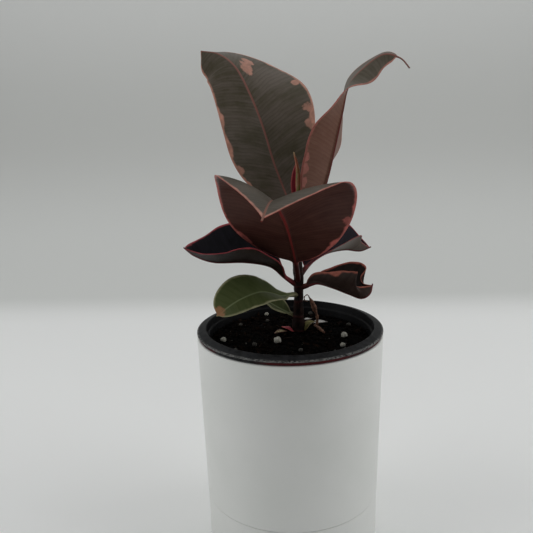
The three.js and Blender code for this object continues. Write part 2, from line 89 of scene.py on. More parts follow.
# ------------------------------------------------------------ shader helpers
class Socket:
    """A node's output that takes part in Python arithmetic, one Math node per operation."""

    def __init__(self, finish, link):
        self.finish = finish
        self.link = link

    def math(self, operation, *values):
        return self.finish.node("Math", {"operation": operation}, *values)

    def __add__(self, other):
        return self.math("ADD", self, other)

    def __sub__(self, other):
        return self.math("SUBTRACT", self, other)

    def __mul__(self, other):
        return self.math("MULTIPLY", self, other)

    def __truediv__(self, other):
        return self.math("DIVIDE", self, other)

    def __abs__(self):
        return self.math("ABSOLUTE", self)

    def sine(self):
        return self.math("SINE", self)

    def root(self):
        return self.math("SQRT", self)

    def most(self, other):
        """The larger of two values."""
        return self.math("MAXIMUM", self, other)

    def fade(self, start, end):
        """0 at start and 1 at end, smoothly; start may be the larger number."""
        low, high = min(start, end), max(start, end)
        settings = {"interpolation_type": "SMOOTHSTEP"}
        to = {"To_Min": 0.0, "To_Max": 1.0} if start < end else {"To_Min": 1.0, "To_Max": 0.0}
        limits = {"From_Min": low, "From_Max": high, **to}
        return self.finish.node("MapRange", settings, self, **limits)


class Finish:
    """A material and the calls that its recipe is written with."""

    # Numbers of the sockets that share a name with others on their node.
    OBJECT_PLACE = 3
    ATTRIBUTE_VALUE = 2
    MIX_FACTOR, MIX_FIRST, MIX_SECOND, MIX_COLOUR = 0, 6, 7, 2

    def __init__(self, name):
        self.material = bpy.data.materials.new(name)
        self.material.use_nodes = True
        self.tree = self.material.node_tree
        self.tree.nodes.clear()

    def node(self, kind, settings=None, *values, out=0, **named):
        """Adds a node: settings first, then its sockets by order or by name."""
        made = self.tree.nodes.new("ShaderNode" + kind)
        for key, value in (settings or {}).items():
            setattr(made, key, value)
        sockets = [(made.inputs[i], value) for i, value in enumerate(values)]
        sockets += [(made.inputs[key.replace("_", " ")], value) for key, value in named.items()]
        for socket, value in sockets:
            if isinstance(value, Socket):
                self.tree.links.new(value.link, socket)
            else:
                socket.default_value = value
        return Socket(self, made.outputs[out])

    def place(self):
        """The place on the piece, in metres."""
        return self.node("TexCoord", out=self.OBJECT_PLACE)

    def split(self, vector):
        """The X, Y and Z of a vector."""
        first = self.node("SeparateXYZ", None, vector)
        return [Socket(self, output) for output in first.link.node.outputs]

    def uv(self, name):
        """The two sides of a UV map as numbers."""
        return self.split(self.node("UVMap", {"uv_map": name}))[:2]

    def value(self, attribute):
        """A number that the mesh carries in a layer of that name."""
        return self.node("Attribute", {"attribute_name": attribute}, out=self.ATTRIBUTE_VALUE)

    def noise(self, vector, scale, detail, roughness=0.5):
        """Clouds between 0 and 1; the scale counts them per metre."""
        return self.node("TexNoise", None, Vector=vector, Scale=scale, Detail=detail,
                         Roughness=roughness)

    def spots(self, vector, scale):
        """Distance from scattered points."""
        return self.node("TexVoronoi", None, Vector=vector, Scale=scale)

    def stretched(self, vector, scale):
        """The vector with each of its axes scaled."""
        return self.node("Mapping", None, Vector=vector, Scale=scale)

    def mix(self, factor, first, second):
        """Blends two colours: the first at factor 0, the second at 1."""
        made = self.tree.nodes.new("ShaderNodeMix")
        made.data_type = "RGBA"
        for index, value in ((self.MIX_FACTOR, factor), (self.MIX_FIRST, first),
                             (self.MIX_SECOND, second)):
            if isinstance(value, Socket):
                self.tree.links.new(value.link, made.inputs[index])
            else:
                made.inputs[index].default_value = value
        return Socket(self, made.outputs[self.MIX_COLOUR])

    def bump(self, height, distance, strength, under=None):
        """A relief of that depth in metres, laid over the one under it."""
        chained = {"Normal": under} if under else {}
        return self.node("Bump", None, Height=height, Distance=distance, Strength=strength,
                         **chained)

    def surface(self, colour, roughness, normal=None, **named):
        """Joins the shader to the output and returns the finished material."""
        if normal:
            named["Normal"] = normal
        shader = self.node("BsdfPrincipled", None, Base_Color=colour, Roughness=roughness,
                           **named)
        output = self.tree.nodes.new("ShaderNodeOutputMaterial")
        self.tree.links.new(shader.link, output.inputs[0])
        return self.material


def rgb(red, green, blue):
    """An opaque colour in linear light."""
    return (red, green, blue, 1.0)


# ------------------------------------------------------------ mesh helpers
# Vertices of a seam that are nearer than this, in metres, become one.
SEAM_MERGE = 2e-6
ROD_MERGE = 1e-6


def placed(name, bm, materials, smooth=True):
    """Turns a bmesh into an object at the origin and frees it."""
    mesh = bpy.data.meshes.new(name)
    for face in bm.faces:
        face.smooth = smooth
    bm.to_mesh(mesh)
    bm.free()
    for material in materials:
        mesh.materials.append(material)
    piece = bpy.data.objects.new(name, mesh)
    bpy.context.collection.objects.link(piece)
    return piece


def finished(name, bm, materials, slot, *nodes, smooth=True):
    """Makes a piece of a bmesh that rides on the body and stands for its CAD nodes."""
    piece = placed(name, bm, materials, smooth)
    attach(piece, BODY)
    if nodes:
        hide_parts(*nodes)


def poured(part, whole):
    """Adds one bmesh to another and frees it."""
    mesh = bpy.data.meshes.new("part")
    part.to_mesh(mesh)
    part.free()
    whole.from_mesh(mesh)
    bpy.data.meshes.remove(mesh)


def turned(profile, steps):
    """Spins a profile of (radius, height) points in millimetres about the Z axis."""
    bm = bmesh.new()
    profile = [(radius * MM, height * MM) for radius, height in profile]
    verts = [bm.verts.new((radius, 0, height)) for radius, height in profile]
    edges = [bm.edges.new(pair) for pair in zip(verts, verts[1:])]
    bmesh.ops.spin(bm, geom=verts + edges, cent=(0, 0, 0), axis=(0, 0, 1),
                   angle=math.tau, steps=steps, use_merge=True)
    bmesh.ops.remove_doubles(bm, verts=bm.verts, dist=SEAM_MERGE)
    bmesh.ops.recalc_face_normals(bm, faces=bm.faces)
    return bm


def lifted_copy(bm, step):
    """Thickens flat faces into a shell: a copy of them, moved by a step, and its walls."""
    made = bmesh.ops.extrude_face_region(bm, geom=bm.faces[:], use_keep_orig=True)
    lifted = [g for g in made["geom"] if isinstance(g, bmesh.types.BMVert)]
    bmesh.ops.translate(bm, verts=lifted, vec=step)
    bmesh.ops.recalc_face_normals(bm, faces=bm.faces)


ROUNDING_SHARE = 0.45


def rounded(corners, steps):
    """Rounds an open line of (radius, height, rounding) corners between its two ends.
    A rounding takes up no more than ROUNDING_SHARE of the lines beside it."""
    points = [corners[0][:2]]
    for before, corner, after in zip(corners, corners[1:], corners[2:]):
        rounding = corner[2]
        corner = Vector(corner[:2])
        back = Vector(before[:2]) - corner
        on = Vector(after[:2]) - corner
        reach = min(rounding, back.length * ROUNDING_SHARE, on.length * ROUNDING_SHARE)
        start = corner + back.normalized() * reach
        end = corner + on.normalized() * reach
        for i in range(steps + 1):
            t = i / steps
            point = start * (1 - t) ** 2 + corner * 2 * t * (1 - t) + end * t * t
            points.append(tuple(point))
    return points + [corners[-1][:2]]


def along(values, share):
    """A smooth value, or point, at a share (0 to 1) along evenly spaced ones."""
    last = len(values) - 1
    if last == 0:
        return values[0]
    x = min(max(share, 0.0), 1.0) * last
    i = min(int(x), last - 1)
    f = x - i
    p1, p2 = values[i], values[i + 1]
    p0 = values[i - 1] if i > 0 else p1 * 2 - p2
    p3 = values[i + 2] if i + 2 <= last else p2 * 2 - p1
    bend = (p0 * 2 - p1 * 5 + p2 * 4 - p3) * f + (p1 * 3 - p0 - p2 * 3 + p3) * (f * f)
    return (p1 * 2 + (p2 - p0) * f + bend * f) * 0.5


class Line:
    """A smooth line through points, walked by share of its length."""

    SAMPLES = 240
    WINDOW = 0.09

    def __init__(self, points):
        self.points = [Vector(p) for p in points]
        walk = [along(self.points, i / self.SAMPLES) for i in range(self.SAMPLES + 1)]
        self.reach = [0.0]
        for before, after in zip(walk, walk[1:]):
            self.reach.append(self.reach[-1] + (after - before).length)
        self.length = self.reach[-1]

    def at(self, share):
        """The point at a share of the line's length."""
        goal = min(max(share, 0.0), 1.0) * self.length
        low, high = 0, self.SAMPLES
        while high - low > 1:
            middle = (low + high) // 2
            low, high = (middle, high) if self.reach[middle] <= goal else (low, middle)
        span = self.reach[high] - self.reach[low]
        part = (goal - self.reach[low]) / span if span else 0.0
        return along(self.points, (low + part) / self.SAMPLES)

    def frames(self, facing, steps):
        """Point, direction and upper-side normal in even steps along the line."""
        rows = []
        normal = Vector(facing)
        for i in range(steps + 1):
            share = i / steps
            direction = (self.at(share + self.WINDOW) - self.at(share - self.WINDOW)).normalized()
            normal = (normal - direction * normal.dot(direction)).normalized()
            rows.append((self.at(share), direction, normal))
        return rows


ROD_FACING = (0.2, -1, 0.1)


def rod(name, points, radii, sides, steps, material, wobble, seed):
    """A rod of changing radius along a line of points in millimetres, closed at both ends."""
    rows = Line(points).frames(ROD_FACING, steps)
    bm = bmesh.new()
    bmesh.ops.create_grid(bm, x_segments=sides, y_segments=steps, size=1)
    for vert in bm.verts:
        i = round((vert.co.y + 1) / 2 * steps)
        angle = (vert.co.x + 1) * math.pi
        point, direction, normal = rows[i]
        across = normal.cross(direction)
        radius = along(radii, i / steps)
        spot = point + (normal * math.cos(angle) + across * math.sin(angle)) * radius
        push = noise.noise(spot * 0.3 + Vector((seed, 0, 0)))
        push += 0.5 * noise.noise(spot * 0.9 + Vector((0, seed, 0)))
        spot += (spot - point).normalized() * push * wobble
        vert.co = spot * MM
    bmesh.ops.remove_doubles(bm, verts=bm.verts, dist=ROD_MERGE)
    bmesh.ops.holes_fill(bm, edges=[e for e in bm.edges if e.is_boundary], sides=sides + 2)
    bmesh.ops.recalc_face_normals(bm, faces=bm.faces)
    finished(name + "_rod", bm, [material], SLOTS[name], name)


# ------------------------------------------------------------ leaves: shape
# Counts, shares, and lengths in millimetres that every leaf has in common.
ROWS = 110
COLUMNS = 48
COLUMN_CROWDING = 1.5
PETIOLE_RADIUS = 1.5
TIP_HALF_WIDTH = 0.45
BLADE_THICKNESS = 0.5
MARGIN_THINNING = 0.4
RIB_TAPER = 0.75
RIB_GROOVE = 0.12
PETIOLE_BLEND = 0.12
BURIED = 1.4

# The "blade" map holds (MAP_MIDDLE + across / MAP_ACROSS, MAP_START + along / MAP_ALONG) in
# millimetres, and the "inward" layer the distance from the margin over INWARD_SPAN.
MAP_MIDDLE, MAP_ACROSS = 0.5, 100
MAP_START, MAP_ALONG = 0.2, 200
INWARD_SPAN = 100


@dataclass
class Side:
    """Fold and curl in degrees, and share of the width, of one half of a blade, each as
    values along its length."""

    fold: list
    curl: list = (0,)
    wide: list = (1,)


@dataclass
class Leaf:
    """A leaf's shape. Lengths are in millimetres and points are from the stem's foot."""

    height: float
    midrib: list
    facing: tuple
    petiole: float
    drip: float
    half_width: float
    peak: float
    base: float
    tip: float
    roll: list
    left: Side
    right: Side
    wave: float = 0.6
    seed: int = 0
    rib: float = 1.0
    stalk: float = PETIOLE_RADIUS

    def side(self, v):
        """The half of the blade that v lies on."""
        return self.right if v > 0 else self.left

    def half(self, v, share):
        """Width of the half that v lies on, at a share of the blade's length."""
        least = self.stalk if share < 0.5 else TIP_HALF_WIDTH
        if not 0 < share < 1:
            return least
        skew = math.log(0.5) / math.log(self.peak)
        power = self.base + (self.tip - self.base) * share
        shape = math.sin(math.pi * share ** skew) ** power
        return max(self.half_width * shape * along(self.side(v).wide, share), least)

    def spot(self, row, share, v):
        """Point of the middle surface at v, from -1 on the left to 1 on the right."""
        point, direction, normal = row
        side = self.side(v)
        half = self.half(v, share)
        fold = math.radians(along(side.fold, share))
        curl = math.radians(along(side.curl, share)) * abs(v) / 2
        chord = abs(v) * half * (math.sin(curl) / curl if abs(curl) > 1e-6 else 1.0)
        roll = math.radians(along(self.roll, share))
        across = direction.cross(normal)
        up = normal * math.cos(roll) + across * math.sin(roll)
        out = across * math.cos(roll) - normal * math.sin(roll)
        spot = point + out * (math.copysign(1, v) * chord * math.cos(fold + curl))
        spot += up * (chord * math.sin(fold + curl))
        beat = noise.noise(Vector((share * 5, v * 0.7 + 4 * self.seed, self.seed)))
        beat += 0.5 * noise.noise(Vector((share * 13, v + 9, self.seed)))
        return spot + up * (self.wave * beat * v * v * min(half / 8, 1))


def stem_point(point):
    """A point from the stem's foot as one in the frame, in millimetres."""
    x, y, z = point
    return Vector((STEM_X / MM + x, STEM_Y / MM + y, SOIL_CENTRE / MM + z))


STEM_TOP = (1.2, STEM_HEIGHT / MM)
STEM_LINE = [(0, -16), (0, 0), (0.3, 14), (0.6, 30), (-0.4, 46), (-0.4, 62), STEM_TOP]


def stem_centre(height):
    """The stem's middle at a height above its foot."""
    for (x0, z0), (x1, z1) in zip(STEM_LINE, STEM_LINE[1:]):
        if z0 <= height <= z1:
            return stem_point((x0 + (x1 - x0) * (height - z0) / (z1 - z0), 0, height))
    return stem_point((STEM_LINE[-1][0], 0, height))


def grown_from_stem(leaf):
    """A midrib from inside the stem's skin out through the leaf's own points."""
    first = stem_point(leaf.midrib[0])
    centre = stem_centre(leaf.height)
    outward = first - centre
    outward.z = 0
    return [centre + outward.normalized() * BURIED, *[stem_point(p) for p in leaf.midrib]]


def leaf_piece(name, leaf, points, upper, under, rows=ROWS, columns=COLUMNS):
    """Lays a shell of rows and columns on the leaf's surface, thickest along the rib.
    The columns crowd towards the rib."""
    line = Line(points)
    frames = line.frames(leaf.facing, rows)
    blade_start = leaf.petiole / line.length
    blade_end = 1 - leaf.drip / line.length
    shares = [(i / rows - blade_start) / (blade_end - blade_start) for i in range(rows + 1)]
    sides = [2 * j / columns - 1 for j in range(columns + 1)]
    sides = [math.copysign(abs(u) ** COLUMN_CROWDING, u) for u in sides]
    grid = [[leaf.spot(row, share, v) for v in sides] for row, share in zip(frames, shares)]

    bm = bmesh.new()
    bmesh.ops.create_grid(bm, x_segments=columns, y_segments=rows, size=1)
    lifted_copy(bm, (0, 0, 1))
    uv = bm.loops.layers.uv.new("blade")
    inward = bm.verts.layers.float.new("inward")
    for face in bm.faces:
        face.material_index = 0 if face.calc_center_median().z > 0.5 else 1

    def index(vert):
        """Row and column of a grid vertex that isn't in its place yet."""
        return round((vert.co.y + 1) / 2 * rows), round((vert.co.x + 1) / 2 * columns)

    for face in bm.faces:
        for loop in face.loops:
            i, j = index(loop.vert)
            half = leaf.half(sides[j], shares[i])
            reach = (shares[i] * (blade_end - blade_start)) * line.length
            loop[uv].uv = (MAP_MIDDLE + sides[j] * half / MAP_ACROSS,
                           MAP_START + reach / MAP_ALONG)
    places = {}
    for vert in bm.verts:
        i, j = index(vert)
        share, v = shares[i], sides[j]
        half = leaf.half(v, share)
        down = grid[min(i + 1, rows)][j] - grid[max(i - 1, 0)][j]
        over = grid[i][min(j + 1, columns)] - grid[i][max(j - 1, 0)]
        normal = over.cross(down).normalized()
        off = abs(v) * half
        radius = leaf.stalk * (1 - RIB_TAPER * max(share, 0)) * leaf.rib
        arch = math.sqrt(max(1 - (off / radius) ** 2, 0)) * radius
        thin = BLADE_THICKNESS / 2 * (1 - MARGIN_THINNING * abs(v) ** 6)
        flat = min(max(share / PETIOLE_BLEND, 0), 1)
        if vert.co.z > 0.5:
            push = max(thin - RIB_GROOVE * arch * flat, arch * (1 - flat))
        else:
            push = -max(thin, arch)
        vert[inward] = (1 - abs(v)) * half / INWARD_SPAN
        places[vert] = (grid[i][j] + normal * push) * MM
    for vert, place in places.items():
        vert.co = place
    finished(name + "_blade", bm, [upper, under], SLOTS[name], name)


LEAVES = {
    "leaf_tall_left": Leaf(
        61, [(-2.5, 8, 70), (-7, 12, 82), (-13, 17, 98), (-19, 23, 118), (-26, 29, 136),
             (-34.5, 35, 152), (-44.5, 39, 160), (-55, 38, 162)],
        (0.1, -1, 0.6), 13, 1, 29, 0.56, 0.6, 0.33, [0],
        Side([20, 16, 12, 8, 6], [0, 0, 0, -10, -20], [1.4, 1.1, 0.84, 0.76, 1]),
        Side([14, 14, 5, -29, -66], [10, 10, 10, 0, 0], [1.1, 1.1, 1.13, 1.08, 0.9]), seed=1),
    "leaf_tall_right": Leaf(
        63, [(7.5, -6, 71), (14.5, -10, 85.5), (20, -14, 107.5), (24, -16, 126),
             (27, -18, 139), (34, -22, 147.5), (43.5, -27, 154), (51.5, -30, 152), (56, -32, 147)],
        (-0.9, 0.42, 0.2), 12, 9, 22, 0.46, 0.5, 0.5, [0, 0, 0, 0, 20, 55, 60],
        Side([30, 24, 8, 12, 0, -40, -60], [0], [1, 1, 1, 1, 0.9, 0.6, 0.8]),
        Side([20, 20, 20, 20, 10, 0, 0], [10], [1.1, 1.1, 1, 0.82, 0.5, 0.8, 1]), seed=2),
    "leaf_front": Leaf(
        31, [(-0.5, -7.5, 39.5), (-1.5, -13, 48.5), (-3.5, -24, 60), (-6, -38, 71.5),
             (-9, -53, 80.5), (-11.5, -68, 87.5), (-13.5, -88, 89), (-16, -105, 85)],
        (0, 0, 1), 17, 3, 40, 0.5, 0.5, 1.0, [0],
        Side([-8, -3, 26, 23, 6], [0, 0, -20, -20, -10], [0.85, 0.87, 0.97, 0.9, 0.7]),
        Side([0, 4, 38, 40, 30], [0, 0, -30, -30, -20], [0.9, 0.93, 0.92, 0.85, 0.5]),
        seed=3),
    "leaf_low_left": Leaf(
        28, [(-7.5, -2.5, 34), (-15.5, -6, 41.5), (-29.5, -10, 45), (-46, -16, 46.5),
             (-56, -22, 51.5), (-61, -28, 57.5)],
        (0, 0, 1), 4, 1, 25, 0.5, 1.7, 0.8, [0, -9, -9, -9, -9],
        Side([26, 32, 40, 38, 27], [0], [0.8, 0.9, 1, 1, 1]), Side([38, 38, 40, 38, 20]), seed=4),
    "leaf_back_right": Leaf(
        33, [(5.5, 6, 37.5), (10.5, 9, 41.5), (18.5, 13, 44.5), (29, 17, 45), (38, 19, 43.5),
             (44.5, 18, 46)],
        (0, 0, 1), 7, 1, 21, 0.6, 0.5, 0.8, [0],
        Side([30]), Side([25, 30, 42, 58, 62], [0], [0.5, 0.5, 0.6, 0.85, 1.0]), seed=5),
    "leaf_curled_right": Leaf(
        26.5, [(6.5, -2, 28.5), (11.5, -4, 30.5), (20, -7, 28.5), (28.5, -10, 25.5),
               (35.5, -13, 23.5), (40, -15, 26.5), (41.5, -16, 32.5)],
        (0, 0, 1), 4.3, 1, 19, 0.58, 0.3, 0.8, [0],
        Side([40], [30], [0.1, 0.75, 1.05, 0.95, 0.9]),
        Side([75, 45, 35, 35, 35], [60], [0.5, 0.6, 0.95, 1.05, 1]), seed=6),
    "leaf_green": Leaf(
        22.5, [(-4.5, -6, 24), (-9.5, -13, 25.5), (-14.5, -18, 28.5), (-20.5, -24, 31),
               (-27, -31, 31), (-34.5, -38, 29), (-43, -45, 24.5)],
        (0, -0.4, 1), 4, 1, 16.5, 0.6, 1.0, 0.45, [-12, -20],
        Side([10], [0], [0.8, 0.62, 0.6]), Side([10], [0], [0.9, 0.78, 0.85, 0.95]), seed=7),
    "leaf_green_small": Leaf(
        9, [(-8, 0, 12.5), (-13, 1, 15), (-17.5, 2, 17.5), (-21.5, 1, 19)],
        (0, -0.4, 1), 3, 1, 8, 0.55, 0.7, 0.6, [-10], Side([10], [0], [0.45]),
        Side([10], [0], [0.85]), wave=0.3, seed=8, rib=0.7),
}


# ------------------------------------------------------------ leaves: finish
# How far a blotch reaches in from the margin, and its soft edge, in millimetres.
BLOTCH_REACH = 2.6
MARGIN_FADE = 1.4
VEIN_SHADE = 0.35
VEIN_HEIGHT = 0.05 * MM
DARK_PETIOLE = rgb(0.040, 0.009, 0.008)
GREEN_PETIOLE = rgb(0.10, 0.085, 0.045)
SCORCH = rgb(0.32, 0.17, 0.085)


def leaf_finish(name, base, cloud, rim, rib, vein, rim_width=0.55, blotch=0.52, patches=(),
                rib_width=0.55, vein_gap=2.2, roughness=0.42, specular=0.14, scorched=(),
                petiole=DARK_PETIOLE):
    """Leathery leaf skin: clouded ground with painted sheen streaks along the side veins, fine
    side veins, coloured midrib and margin.
    Lengths are in millimetres; patches are (across, along, size) on the blade, in the
    margin's colour, and scorched ones are the same in a dry tan."""
    f = Finish(name)
    u, v = f.uv("blade")
    across = (u - MAP_MIDDLE) * MAP_ACROSS
    reach = (v - MAP_START) * MAP_ALONG
    edge = f.value("inward") * INWARD_SPAN
    place = f.place()
    broad = f.noise(place, 45, 4, 0.6)
    fine = f.noise(place, 260, 5, 0.6)
    drift = f.noise(place, 130, 2)
    side = abs(across)
    bend = side * 0.55 - side * side * 0.009
    lines = ((reach - bend + drift * 2.4) * (math.tau / vein_gap)).sine()
    thin = ((reach - side * 0.3 + drift * 1.6) * (math.tau / vein_gap * 3.1)).sine()
    veins = (lines * 0.5 + 0.5) * 0.7 + (thin * 0.5 + 0.5) * 0.3
    # Painted sheen: streaks along the side veins that pull the ground towards the lighter cloud
    # colour.
    streak = f.noise(f.node("CombineXYZ", None, (reach - bend) * 0.34, side * 0.05, 0), 1, 3, 0.6)
    ground = f.mix((broad * 0.55 + streak * 0.45).fade(0.36, 0.62), base, cloud)
    ground = f.mix(veins.fade(0.45, 0.95) * VEIN_SHADE, ground, vein)
    ground = f.mix(fine.fade(0.35, 0.75) * 0.3, ground, cloud)
    ragged = f.noise(place, 190, 3, 0.6)
    chance = f.noise(place, 62, 2, 0.5)
    near = edge - ragged * 2.2 - chance.fade(blotch, blotch + 0.25) * BLOTCH_REACH
    mask = near.fade(rim_width, rim_width - MARGIN_FADE)

    def patch(x, y, size):
        """1 within a frayed round spot on the blade."""
        apart = ((across - x) * (across - x) + (reach - y) * (reach - y)).root()
        frayed = apart + (ragged - 0.5) * size * 1.6 + (drift - 0.5) * size * 1.2
        return frayed.fade(size, size * 0.72)

    for spot in patches:
        mask = mask.most(patch(*spot) * 0.72)
    tinted = f.mix(fine.fade(0.35, 0.65) * 0.35, rim, ground)
    colour = f.mix(mask, ground, tinted)
    middle = side.fade(rib_width * 1.5, rib_width * 0.8)
    colour = f.mix(middle, colour, rib)
    colour = f.mix(reach.fade(5.0, -4.0), colour, petiole)
    for spot in scorched:
        colour = f.mix(patch(*spot), colour, SCORCH)
    relief = f.bump(veins * 0.6 + side.fade(2.2, 0.2), VEIN_HEIGHT, 0.8)
    grain = f.bump(f.noise(place, 1400, 3), 0.03 * MM, 0.5, relief)
    gloss = fine * 0.16 + roughness - 0.06
    return f.surface(colour, gloss, grain, Specular_IOR_Level=specular)


ROSE = rgb(0.62, 0.24, 0.19)

FINISHES = {
    "leaf_tall_left": (
        leaf_finish("leaf_tall_left_upper", rgb(0.068, 0.058, 0.034), rgb(0.125, 0.102, 0.082),
                    rgb(0.62, 0.30, 0.22), rgb(0.23, 0.10, 0.08), rgb(0.050, 0.040, 0.026),
                    patches=[(9, 89, 5), (14, 93, 3.5), (29, 70, 2.6), (29, 53, 3.4), (28, 44, 4),
                             (-23, 29, 4)]),
        leaf_finish("leaf_tall_left_under", rgb(0.15, 0.060, 0.042), rgb(0.19, 0.085, 0.060), ROSE,
                    rgb(0.42, 0.10, 0.09), rgb(0.10, 0.035, 0.026))),
    "leaf_tall_right": (
        leaf_finish("leaf_tall_right_upper", rgb(0.085, 0.073, 0.050), rgb(0.13, 0.11, 0.085),
                    rgb(0.55, 0.24, 0.19), rgb(0.23, 0.10, 0.08), rgb(0.06, 0.048, 0.032)),
        leaf_finish("leaf_tall_right_under", rgb(0.15, 0.066, 0.042), rgb(0.19, 0.092, 0.062),
                    rgb(0.50, 0.17, 0.14), rgb(0.12, 0.022, 0.018), rgb(0.10, 0.035, 0.026),
                    patches=[(18.5, 21, 4), (19.5, 28, 4.2), (20, 35, 3)])),
    "leaf_front": (
        leaf_finish("leaf_front_upper", rgb(0.058, 0.050, 0.036), rgb(0.10, 0.082, 0.064),
                    rgb(0.50, 0.24, 0.18), rgb(0.24, 0.11, 0.08), rgb(0.045, 0.036, 0.026)),
        leaf_finish("leaf_front_under", rgb(0.042, 0.014, 0.011), rgb(0.070, 0.028, 0.021),
                    rgb(0.48, 0.13, 0.11), rgb(0.15, 0.020, 0.018), rgb(0.022, 0.006, 0.005),
                    patches=[(-31, 37, 3)])),
    "leaf_low_left": (
        leaf_finish("leaf_low_left_upper", rgb(0.0025, 0.002, 0.003), rgb(0.009, 0.008, 0.012),
                    rgb(0.40, 0.07, 0.08), rgb(0.16, 0.03, 0.03), rgb(0.004, 0.004, 0.006),
                    roughness=0.34, specular=0.06),
        leaf_finish("leaf_low_left_under", rgb(0.008, 0.005, 0.004), rgb(0.026, 0.017, 0.013),
                    rgb(0.36, 0.06, 0.07), rgb(0.12, 0.02, 0.025), rgb(0.010, 0.006, 0.005),
                    specular=0.07)),
    "leaf_back_right": (
        leaf_finish("leaf_back_right_upper", rgb(0.007, 0.005, 0.008), rgb(0.020, 0.015, 0.022),
                    rgb(0.36, 0.05, 0.06), rgb(0.14, 0.03, 0.03), rgb(0.005, 0.004, 0.006),
                    roughness=0.34, specular=0.08),
        leaf_finish("leaf_back_right_under", rgb(0.10, 0.075, 0.060), rgb(0.15, 0.125, 0.10),
                    rgb(0.30, 0.08, 0.08), rgb(0.12, 0.02, 0.025), rgb(0.07, 0.04, 0.035))),
    "leaf_curled_right": (
        leaf_finish("leaf_curled_right_upper", rgb(0.010, 0.007, 0.006), rgb(0.028, 0.022, 0.019),
                    rgb(0.42, 0.12, 0.09), rgb(0.16, 0.03, 0.03), rgb(0.012, 0.010, 0.010),
                    roughness=0.36, specular=0.10),
        leaf_finish("leaf_curled_right_under", rgb(0.024, 0.014, 0.011), rgb(0.048, 0.032, 0.026),
                    rgb(0.42, 0.13, 0.09), rgb(0.14, 0.03, 0.03), rgb(0.045, 0.022, 0.020))),
    "leaf_green": (
        leaf_finish("leaf_green_upper", rgb(0.058, 0.075, 0.024), rgb(0.085, 0.105, 0.040),
                    rgb(0.34, 0.33, 0.19), rgb(0.16, 0.19, 0.09), rgb(0.045, 0.060, 0.018),
                    rim_width=0.5, blotch=0.9, vein_gap=4.2, rib_width=0.4,
                    scorched=[(1, 59, 5), (9, 17, 1.8)], petiole=GREEN_PETIOLE),
        leaf_finish("leaf_green_under", rgb(0.12, 0.14, 0.075), rgb(0.15, 0.17, 0.10),
                    rgb(0.34, 0.33, 0.19), rgb(0.20, 0.22, 0.12), rgb(0.09, 0.11, 0.05),
                    rim_width=0.5, blotch=0.9, vein_gap=4.2, petiole=GREEN_PETIOLE)),
}
FINISHES["leaf_green_small"] = FINISHES["leaf_green"]

for leaf_name, leaf_shape in LEAVES.items():
    leaf_piece(leaf_name, leaf_shape, grown_from_stem(leaf_shape), *FINISHES[leaf_name])


# ------------------------------------------------------------ stem
RING_GAP = 9
STEM_RADII = [3.3, 3.9, 2.8, 2.8, 2.8, 2.8, 1.9]


def bark_finish():
    """Dark young bark: blots, streaks along it, pale pores and reddish rings."""
    f = Finish("young_bark")
    place = f.place()
    long = f.noise(f.stretched(place, (1, 1, 0.35)), 520, 4, 0.6)
    blots = f.noise(place, 180, 3)
    pores = f.spots(f.stretched(place, (1, 1, 0.5)), 420)
    height = f.split(place)[2]
    rings = ((height * 1000 + blots * 2) * (math.tau / RING_GAP)).sine().fade(0.85, 1.0)
    colour = f.mix(blots.fade(0.35, 0.65), rgb(0.004, 0.002, 0.0018), rgb(0.014, 0.005, 0.004))
    colour = f.mix(long.fade(0.45, 0.75) * 0.6, colour, rgb(0.034, 0.015, 0.012))
    colour = f.mix(rings * 0.6, colour, rgb(0.045, 0.010, 0.009))
    colour = f.mix(pores.fade(0.16, 0.05) * 0.7, colour, rgb(0.12, 0.065, 0.045))
    relief = f.bump(long + rings * 0.8 - pores * 0.3, 0.25 * MM, 0.7)
    return f.surface(colour, long * 0.2 + 0.5, relief, Specular_IOR_Level=0.1)


rod("stem", [stem_point((x, 0, z)) for x, z in STEM_LINE], STEM_RADII, 32, 160, bark_finish(),
    wobble=0.35, seed=3)


# ------------------------------------------------------------ growing tip
TIP = stem_point((STEM_TOP[0], 0, STEM_TOP[1]))
TIP_LENGTH = 24.5
TIP_LINE = [(0, 0, -0.6), (0.2, 0, 6), (0, 0, 12), (-1, 0, 18.5), (-2.4, 0, TIP_LENGTH)]
TIP_RADII = [1.4, 1.9, 1.5, 0.8, 0.35]
SHEATH_REACH = (sheath_high.y - STEM_Y) / MM - 0.5
SHEATH_LINE = [(-0.8, 0.9, -5), (-1.6, 0.7, 2), (-1.7, 0.6, 10), (-1.2, 0.7, 19)]


def tip_finish():
    """Rolled new leaf: coral and olive streaks that turn pale towards the point."""
    f = Finish("rolled_leaf")
    place = f.place()
    height = f.split(place)[2]
    share = (height - TIP.z * MM) / (TIP_LENGTH * MM)
    streak = f.noise(f.stretched(place, (1, 1, 0.12)), 900, 3)
    colour = f.mix(streak.fade(0.45, 0.6), rgb(0.12, 0.13, 0.02), rgb(0.30, 0.10, 0.05))
    colour = f.mix(share.fade(0.45, 0.75), colour, rgb(0.42, 0.13, 0.07))
    colour = f.mix(share.fade(0.85, 1.0), colour, rgb(0.55, 0.38, 0.20))
    return f.surface(colour, 0.45, f.bump(streak, 0.12 * MM, 0.6))


def scale_finish(name, base, tone, edge, roughness=0.6):
    """A papery scale with streaks along it and a darker or redder margin."""
    f = Finish(name)
    u, v = f.uv("blade")
    place = f.place()
    streak = f.noise(f.node("CombineXYZ", None, u * 24, v * 6, 0), 5, 3)
    blot = f.noise(place, 420, 3)
    margin = (f.value("inward") * INWARD_SPAN - blot * 0.9).fade(0.35, 0.0)
    colour = f.mix(streak.fade(0.35, 0.65), base, tone)
    colour = f.mix(margin.most(blot.fade(0.60, 0.70)), colour, edge)
    return f.surface(colour, roughness, f.bump(streak + blot * 0.6, 0.15 * MM, 0.7))


def scale_shape(half_width, fold, seed, facing=(0, 0, 1)):
    """The plain narrow shape of a bud sheath or a fallen scale."""
    return Leaf(0, [], facing, 0.5, 0.5, half_width, 0.45, 0.5, 0.9, [0], Side([fold]),
                Side([fold]), wave=0.25, seed=seed, rib=0.6, stalk=0.6)


